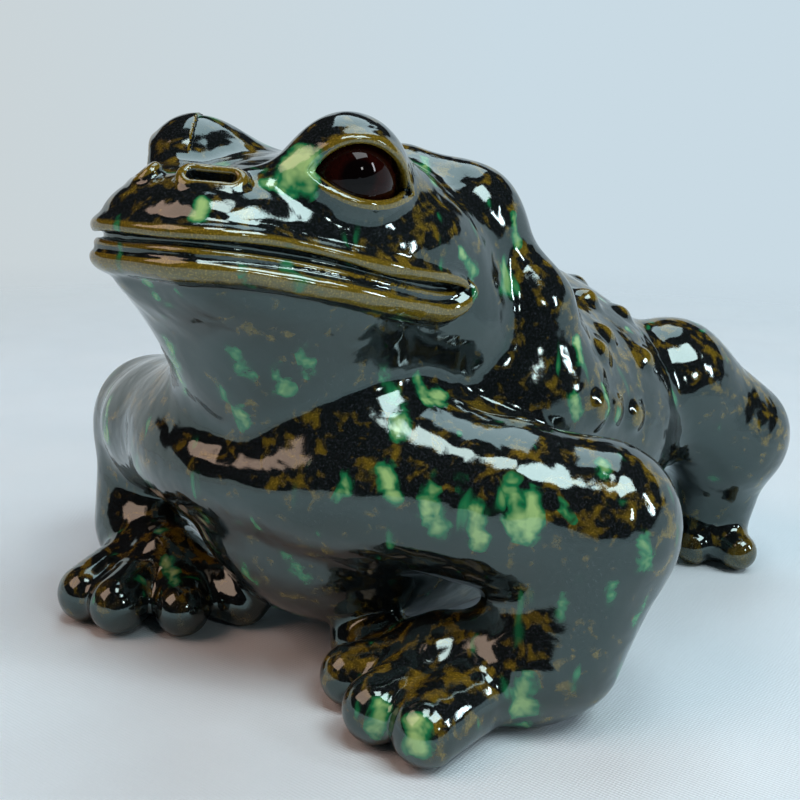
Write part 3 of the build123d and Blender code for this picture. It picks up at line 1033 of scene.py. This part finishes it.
# Lamps: name, azimuth, elevation, width, height, power in watts, colour
LAMP_DISTANCE = 1500
LAMPS = [
    ("key softbox", 84, 57, 700, 560, 10, "#f6fcff"),
    ("window", 40, 76, 400, 400, 3.5, "#ffffff"),
    ("eye window", 74, 25, 110, 130, 1, "#ffffff"),
    ("side window", 106, 25, 100, 420, 3.4, "#f3f6ff"),
    ("warm wall", -34, 44, 900, 900, 6.6, "#ffc8b4"),
    ("skylight", 205, 64, 900, 900, 6.5, "#e4f5ff"),
]


def add_lamp(name, azimuth, elevation, width, height, power, colour):
    data = bpy.data.lights.new(name, "AREA")
    data.shape = "RECTANGLE"
    data.size, data.size_y = width * METRES, height * METRES
    data.energy = power
    data.color = linear(colour)[:3]
    lamp = add_object(name, data)
    direction = towards(azimuth, elevation)
    lamp.location = (Vector(PHOTO_TARGET) + direction * LAMP_DISTANCE) * METRES
    lamp.rotation_euler = direction.to_track_quat("Z", "Y").to_euler()


# The cloth that the glaze mirrors: how far it leans towards the camera, the height of its top,
# how that falls at the camera's left, its ripple and the softness of its edge, and the room
CLOTH_TILT = 0.24
CLOTH_TOP = 0.25
CLOTH_SLOPE = 0.15
CLOTH_RIPPLE = 0.08
CLOTH_EDGE = 0.012
DARK_ROOM = "#1c1b1d"


def make_world():
    """Pale cloth all round and below, and a dark room over it, which the glaze mirrors."""
    world = bpy.data.worlds.new("studio")
    world.use_nodes = True
    tree = world.node_tree
    tree.nodes.clear()
    bpy.context.scene.world = world
    direction = node(tree, "TexCoord").outputs["Generated"]
    back = -towards(PHOTO_AZIMUTH, 0)
    tilt = Vector((0, 0, 1)) - back * CLOTH_TILT
    level = node(tree, "VectorMath", {0: direction, 1: tilt}, operation="DOT_PRODUCT")
    ripple = node(tree, "TexNoise", {"Vector": direction, "Scale": 3.0, "Detail": 2.0})
    rippled = node(tree, "Math", {
        0: ripple.outputs["Fac"], 1: CLOTH_RIPPLE, 2: level.outputs["Value"],
    }, operation="MULTIPLY_ADD")
    aside = node(tree, "VectorMath", {
        0: direction, 1: towards(PHOTO_AZIMUTH - 90, 0),
    }, operation="DOT_PRODUCT")
    lowered = node(tree, "Math", {0: aside.outputs["Value"], 1: 0.0}, operation="MAXIMUM")
    rippled = node(tree, "Math", {
        0: lowered.outputs[0], 1: CLOTH_SLOPE, 2: rippled.outputs[0],
    }, operation="MULTIPLY_ADD")
    top = CLOTH_TOP + CLOTH_RIPPLE / 2
    dark = node(tree, "MapRange", {
        "Value": rippled.outputs[0], "From Min": top - CLOTH_EDGE, "From Max": top + CLOTH_EDGE,
    }, interpolation_type="SMOOTHSTEP")
    grey_share = node(tree, "MapRange", {
        "Value": aside.outputs["Value"], "From Min": -0.1, "From Max": 0.5,
    })
    cloth = node(tree, "Mix", {
        MIX: grey_share.outputs["Result"], MIX_FROM: chosen("studio"), MIX_TO: chosen("studio_grey"),
    }, data_type="RGBA")
    colour = node(tree, "Mix", {
        MIX: dark.outputs["Result"], MIX_FROM: cloth.outputs[MIXED], MIX_TO: linear(DARK_ROOM),
    }, data_type="RGBA")
    shader = node(tree, "Background", {"Color": colour.outputs[MIXED], "Strength": 1.0})
    node(tree, "OutputWorld", {"Surface": shader.outputs["Background"]})


FLOOR_HALF = 0.8


def make_floor():
    mesh = bpy.data.meshes.new("floor")
    corners = [(-1, -1), (1, -1), (1, 1), (-1, 1)]
    places = [(x * FLOOR_HALF, y * FLOOR_HALF, 0) for x, y in corners]
    mesh.from_pydata(places, [], [(0, 1, 2, 3)])
    mesh.materials.append(cotton_material())
    add_object("floor", mesh)


def size_property(name, label, description):
    return bpy.props.FloatProperty(
        name=label, description=description, default=clay_sizes[name] * METRES, min=0.0,
        unit="LENGTH", precision=5,
    )


def colour_property(label, description, colour):
    return bpy.props.FloatVectorProperty(
        name=label, description=description, default=linear(colour)[:3], size=3,
        min=0.0, max=1.0, subtype="COLOR",
    )


class FrogSizes(bpy.types.PropertyGroup):
    fineness: bpy.props.FloatProperty(
        name="Grain of the sculpt", description="Size of its voxels, as a share of the finest",
        default=1, min=1, max=4, subtype="FACTOR",
    )
    upper_lip_roll: size_property("upper_lip_roll", "Upper lip", "Radius of the upper lip's roll")
    lip_roll: size_property("lip_roll", "Lower lip", "Radius of the lower lip's roll")
    lid_roll: size_property("lid_roll", "Eyelid", "Radius of the roll round each eye")
    swell: size_property("swell", "Swell", "Height of the slow waves that hands left in the clay")
    foot_rounding: size_property("foot_rounding", "Foot edge", "Rounding where clay meets floor")


class FrogColours(bpy.types.PropertyGroup):
    dark: colour_property("Dark glaze", "Where the glaze pools", "#0d1211")
    crystal: colour_property("Crystals", "Fine crystals in the dark glaze", "#30343a")
    amber: colour_property("Amber", "Thin glaze on ridges", "#645415")
    gold: colour_property("Gold", "Brightest of the thin glaze", "#a3872f")
    deep_green: colour_property("Deep green", "Thin edge of a copper run", "#0f3323")
    green: colour_property("Green", "Body of a copper run", "#1f7d4c")
    mint: colour_property("Mint", "Thick middle of a copper run", "#a9d487")
    clay: colour_property("Clay", "Unglazed clay under the foot", "#b79d78")
    glass: colour_property("Eye glass", "Darkest of the iris", "#0c0202")
    iris: colour_property("Iris", "Lightest of the iris", "#2b0b06")
    sheen: colour_property("Sheen", "Cool tint of what the glaze mirrors", "#e0fbf8")
    cloth: colour_property("Cloth", "Cotton that the frog sits on", "#e3f2f8")
    # Painted shade: the colour of the cloth in the low parts of its folds, a little darker than the
    # cloth
    cloth_painted_fold_shade: colour_property("Cloth in folds", "Cotton where it lies slack", "#d6e8f0")
    studio: colour_property("Studio", "Pale cloth round the frog", "#c9dae4")
    studio_grey: colour_property("Studio aside", "Greyer cloth at the left", "#cbd2d4")


def take_sizes():
    """Notes the sizes of the sidebar in millimetres, for the threads that sculpt."""
    for name in clay_sizes:
        clay_sizes[name] = getattr(bpy.context.scene.frog_sizes, name) / METRES


def both_sides(part, low, high, voxel):
    """Rows of a left piece and of its mirror image."""
    rows = []
    for side, word in SIDES:
        near, far = sorted((side * low[0], side * high[0]))
        box = ((near,) + low[1:], (far,) + high[1:])
        rows.append((f"glazed_{part}_{word}", part, side, box, voxel, f"{part}_{word}"))
    return rows


class GlazedPiece:
    """What the operators that sculpt glazed clay share."""

    bl_options = {"REGISTER", "UNDO"}
    glaze = DARK_GLAZE
    slot = "dark_glaze"

    def execute(self, context):
        take_sizes()
        if not PELLETS:
            add_warts()
        coarse = context.scene.frog_sizes.fineness * 1
        for name, part, side, box, voxel, clay_node in self.pieces:
            piece = sculpt(name, part, side, box, voxel * coarse)
            piece.data.materials.append(shared_material(self.glaze))
            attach(piece, "root")
            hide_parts(clay_node)
        return {"FINISHED"}


class AmberPiece(GlazedPiece):
    """What the operators that roll thin clay share."""

    glaze = AMBER_GLAZE
    slot = "amber_glaze"


class FROG_OT_head(GlazedPiece, bpy.types.Operator):
    """Sculpts the head with its brows, nostrils and upper lip"""

    bl_idname = "frog.head"
    bl_label = "Head"
    pieces = [("glazed_head", "head", 0, ((-38, -82, 30), (38, 12, 108)), 0.5, "head_shell")]


class FROG_OT_torso(GlazedPiece, bpy.types.Operator):
    """Sculpts the torso with the fold behind the cheeks and its vent"""

    bl_idname = "frog.torso"
    bl_label = "Torso"
    pieces = [("glazed_torso", "torso", 0, ((-56, -60, 0), (56, 92, 102)), 0.8, "torso_shell")]


class FROG_OT_front_legs(GlazedPiece, bpy.types.Operator):
    """Sculpts both front legs with their hands"""

    bl_idname = "frog.front_legs"
    bl_label = "Front legs"
    pieces = both_sides("front_leg", (-2, -62, 0), (76, 8, 62), 0.6)


class FROG_OT_hind_legs(GlazedPiece, bpy.types.Operator):
    """Sculpts both folded hind legs with their feet"""

    bl_idname = "frog.hind_legs"
    bl_label = "Hind legs"
    pieces = both_sides("hind_leg", (2, 30, 0), (72, 90, 66), 0.7)


class FROG_OT_eyelids(AmberPiece, bpy.types.Operator):
    """Rolls the lid round each eye"""

    bl_idname = "frog.eyelids"
    bl_label = "Eyelids"
    pieces = both_sides("eyelid", (8, -56, 82), (34, -26, 106), 0.35)


class FROG_OT_lower_lip(AmberPiece, bpy.types.Operator):
    """Rolls the lower lip from corner to corner of the mouth"""

    bl_idname = "frog.lower_lip"
    bl_label = "Lower lip"
    pieces = [
        ("glazed_lower_lip", "lip", 0, ((-38, -82, 64), (38, -12, 90)), 0.4, "lower_lip_roll"),
    ]


class FROG_OT_warts(AmberPiece, bpy.types.Operator):
    """Presses the pellets on the back and the flanks"""

    bl_idname = "frog.warts"
    bl_label = "Warts"
    pieces = [("glazed_warts", "wart", 0, ((-58, -30, 20), (58, 60, 100)), 0.5, "back_warts")]


class FROG_OT_eyes(bpy.types.Operator):
    """Turns both glass eyes"""

    bl_idname = "frog.eyes"
    bl_label = "Glass eyes"
    bl_options = {"REGISTER", "UNDO"}

    def execute(self, context):
        for side, word in SIDES:
            eye = add_object(f"glass_eye_{word}", eye_mesh(side))
            eye.data.materials.append(shared_material(EYE_GLASS))
            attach(eye, "root")
            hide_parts(f"eye_{word}")
        return {"FINISHED"}


class FROG_OT_stage(bpy.types.Operator):
    """Sets the camera, the cloth, the lamps and the studio round the frog"""

    bl_idname = "frog.stage"
    bl_label = "Stage"
    bl_options = {"REGISTER", "UNDO"}

    def execute(self, context):
        context.scene.view_settings.view_transform = "Standard"
        add_camera()
        make_world()
        make_floor()
        for lamp in LAMPS:
            add_lamp(*lamp)
        return {"FINISHED"}


STEPS = [
    FROG_OT_head, FROG_OT_torso, FROG_OT_front_legs, FROG_OT_hind_legs, FROG_OT_eyelids,
    FROG_OT_lower_lip, FROG_OT_warts, FROG_OT_eyes, FROG_OT_stage,
]


class FROG_PT_sidebar(bpy.types.Panel):
    """Sizes, colours and steps of the frog"""

    bl_idname = "FROG_PT_sidebar"
    bl_label = "Pottery Frog"
    bl_space_type = "VIEW_3D"
    bl_region_type = "UI"
    bl_category = "Frog"

    def draw(self, context):
        for title, group in (("Sizes", "frog_sizes"), ("Colours", "frog_colours")):
            settings = getattr(context.scene, group)
            box = self.layout.box()
            box.label(text=title)
            for name in settings.__annotations__:
                box.prop(settings, name)
        column = self.layout.column(align=True)
        for step in STEPS:
            column.operator(step.bl_idname)


CLASSES = [FrogSizes, FrogColours] + STEPS + [FROG_PT_sidebar]


def register():
    for made in CLASSES:
        bpy.utils.register_class(made)
    bpy.types.Scene.frog_sizes = bpy.props.PointerProperty(type=FrogSizes)
    bpy.types.Scene.frog_colours = bpy.props.PointerProperty(type=FrogColours)


def unregister():
    del bpy.types.Scene.frog_colours
    del bpy.types.Scene.frog_sizes
    for made in reversed(CLASSES):
        bpy.utils.unregister_class(made)


def main():
    register()
    bpy.ops.frog.head()
    bpy.ops.frog.torso()
    bpy.ops.frog.front_legs()
    bpy.ops.frog.hind_legs()
    bpy.ops.frog.eyelids()
    bpy.ops.frog.lower_lip()
    bpy.ops.frog.warts()
    bpy.ops.frog.eyes()
    bpy.ops.frog.stage()


if __name__ == "__main__":
    main()
